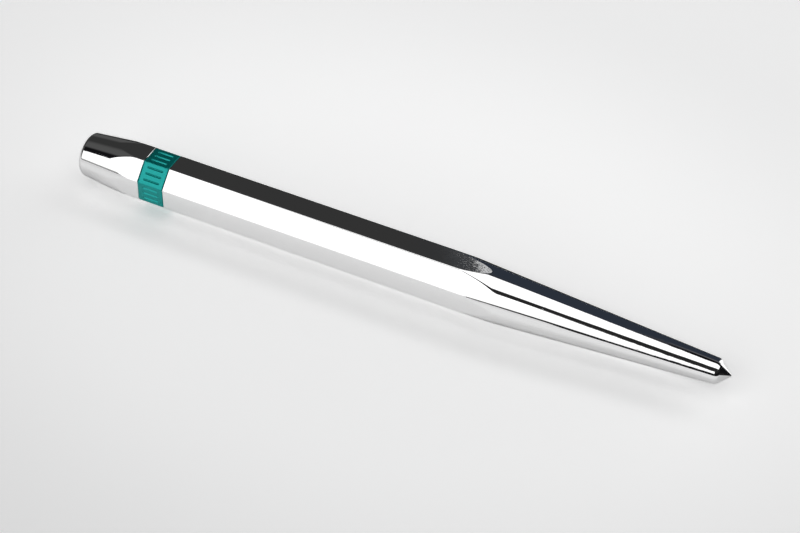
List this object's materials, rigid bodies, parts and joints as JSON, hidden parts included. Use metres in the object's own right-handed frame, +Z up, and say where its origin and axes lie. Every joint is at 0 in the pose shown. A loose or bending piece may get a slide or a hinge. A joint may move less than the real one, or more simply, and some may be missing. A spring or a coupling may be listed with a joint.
{
  "type": "centre punch",
  "caption": "Octagonal chromed steel hand punch with a tapered round nose, a conical point for marking metal and a teal plastic identification ring in a groove near the head.",
  "frame": {"origin": "under the middle of the punch's length, on the surface that it lies on", "axes": "+X along the punch from the striking face to the point, +Z up, square to the flat that it lies on"},
  "size_m": [0.15, 0.012, 0.012],
  "materials": {
    "chromed_steel": "polished chrome plate, frosted where the flats run out into the taper",
    "ring_plastic": "moulded, semi-gloss"
  },
  "bodies": {
    "root": {"punch_body": "chromed_steel", "identification_ring": "ring_plastic"}
  },
  "joints": []
}
